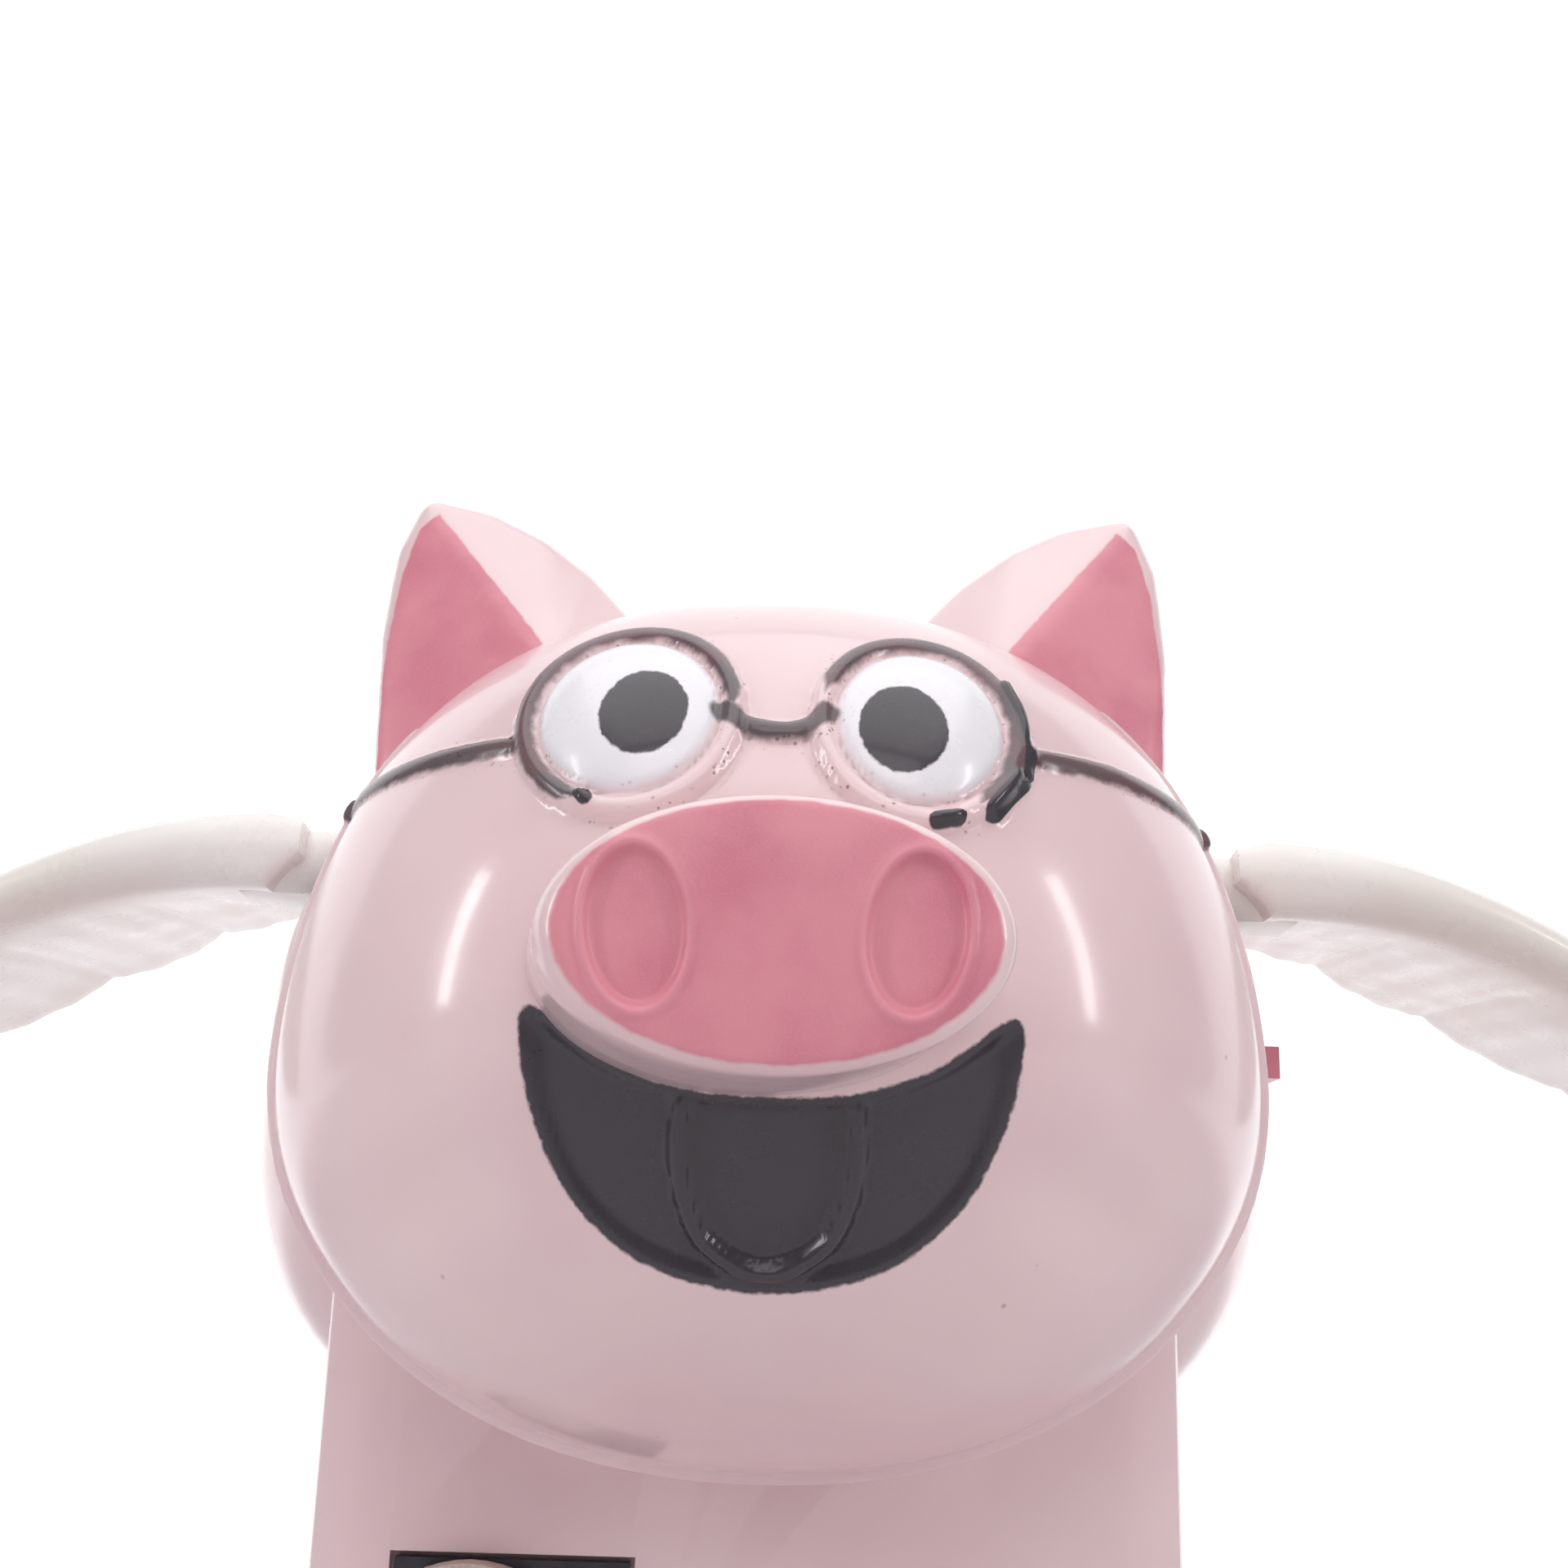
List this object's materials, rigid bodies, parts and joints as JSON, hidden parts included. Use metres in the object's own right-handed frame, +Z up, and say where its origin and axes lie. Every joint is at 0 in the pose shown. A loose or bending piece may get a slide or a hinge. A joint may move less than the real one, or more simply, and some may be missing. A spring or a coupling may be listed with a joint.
{
  "type": "clockwork toy",
  "caption": "Wind-up pig with round glasses and an open mouth; its wings flap and its feet waddle, driven by a spring motor inside the body.",
  "frame": {"origin": "on the ground, under the middle of the box around the toy", "axes": "+Z up, the face looks along -Y, the pig's left side is at +X"},
  "size_m": [0.124, 0.072, 0.0936],
  "materials": {
    "pale_pink": "gloss, moulded",
    "dark_pink": "satin paint",
    "white_wing": "satin, moulded",
    "black_plastic": "gloss",
    "cream_plastic": "matte",
    "nylon": "matte",
    "brass": "brushed",
    "steel": "brushed"
  },
  "bodies": {
    "body": {"face_shell": "pale_pink", "head_rear_shell": "pale_pink", "snout": "dark_pink", "left_ear": "pale_pink", "right_ear": "pale_pink", "left_head_screw": "steel", "right_head_screw": "steel", "body_front_shell": "pale_pink", "body_rear_shell": "pale_pink", "base_cover": "pale_pink", "left_lower_body_screw": "steel", "right_lower_body_screw": "steel", "left_upper_body_screw": "steel", "right_upper_body_screw": "steel", "left_motor_plate": "steel", "right_motor_plate": "steel", "lower_front_pillar": "steel", "lower_rear_pillar": "steel", "upper_front_pillar": "steel", "upper_rear_pillar": "steel", "mainspring": "steel", "left_wing_pin": "steel", "right_wing_pin": "steel", "foot_shaft": "steel", "switch_bezel": "black_plastic"},
    "winding": {"winding_key": "dark_pink", "spring_arbor": "steel", "ratchet_wheel": "steel"},
    "great_wheel": {"great_wheel": "brass"},
    "click": {"click": "steel"},
    "second_arbor": {"second_pinion": "steel", "second_wheel": "brass"},
    "crankshaft": {"crankshaft": "steel", "crank_wheel": "brass", "left_crank_disc": "steel", "right_crank_disc": "steel"},
    "governor": {"governor_pinion": "steel", "governor_drum": "brass"},
    "left_wing": {"left_wing": "white_wing"},
    "right_wing": {"right_wing": "white_wing"},
    "lifter": {"wing_lifter": "nylon"},
    "left_foot": {"left_foot": "pale_pink", "left_leg": "nylon"},
    "right_foot": {"right_foot": "pale_pink", "right_leg": "nylon"},
    "brake": {"brake_slider": "cream_plastic", "brake_finger": "steel"}
  },
  "joints": [
    {"name": "winding_key_turn", "type": "hinge", "parent": "body", "child": "winding", "pos_m": [0.02, 0.021, 0.0687], "axis": [1, 0, 0], "continuous": true},
    {"name": "great_wheel_turn", "type": "hinge", "parent": "body", "child": "great_wheel", "pos_m": [-0.00085, 0.021, 0.0687], "axis": [1, 0, 0], "continuous": true},
    {"name": "click_pivot", "type": "hinge", "parent": "great_wheel", "child": "click", "pos_m": [0.00085, 0.0266, 0.0721], "axis": [1, 0, 0], "range_deg": [0, 12]},
    {"name": "second_arbor_turn", "type": "hinge", "parent": "body", "child": "second_arbor", "pos_m": [0, 0.0135, 0.0587], "axis": [1, 0, 0], "continuous": true},
    {"name": "crankshaft_turn", "type": "hinge", "parent": "body", "child": "crankshaft", "pos_m": [0, 0.0066, 0.0495], "axis": [1, 0, 0], "continuous": true},
    {"name": "governor_turn", "type": "hinge", "parent": "body", "child": "governor", "pos_m": [0, 0.0123, 0.0419], "axis": [1, 0, 0], "continuous": true},
    {"name": "left_wing_flap", "type": "hinge", "parent": "body", "child": "left_wing", "pos_m": [0.02, 0.0098, 0.0775], "axis": [0, -1, 0], "range_deg": [-15, 15]},
    {"name": "right_wing_flap", "type": "hinge", "parent": "body", "child": "right_wing", "pos_m": [-0.02, 0.0098, 0.0775], "axis": [0, -1, 0], "range_deg": [-15, 15]},
    {"name": "lifter_slide", "type": "slide", "parent": "body", "child": "lifter", "axis": [0, 0, 1], "range_m": [-0.0022, 0.0022]},
    {"name": "left_foot_swing", "type": "hinge", "parent": "body", "child": "left_foot", "pos_m": [0.0122, 0.0066, 0.017], "axis": [1, 0, 0], "range_deg": [-7.4, 7.4]},
    {"name": "right_foot_swing", "type": "hinge", "parent": "body", "child": "right_foot", "pos_m": [-0.0122, 0.0066, 0.017], "axis": [1, 0, 0], "range_deg": [-7.4, 7.4]},
    {"name": "brake_slide", "type": "slide", "parent": "body", "child": "brake", "axis": [1, 0, 0], "range_m": [0, 0.0034]}
  ],
  "couplings": [
    {"joint": "second_arbor_turn", "follows": "great_wheel_turn", "ratio": -4},
    {"joint": "crankshaft_turn", "follows": "great_wheel_turn", "ratio": 14.4},
    {"joint": "governor_turn", "follows": "great_wheel_turn", "ratio": -54},
    {"joint": "right_wing_flap", "follows": "left_wing_flap", "ratio": -1},
    {"joint": "lifter_slide", "follows": "left_wing_flap", "m_per_rad": -0.008},
    {"joint": "right_foot_swing", "follows": "left_foot_swing", "ratio": -1}
  ]
}
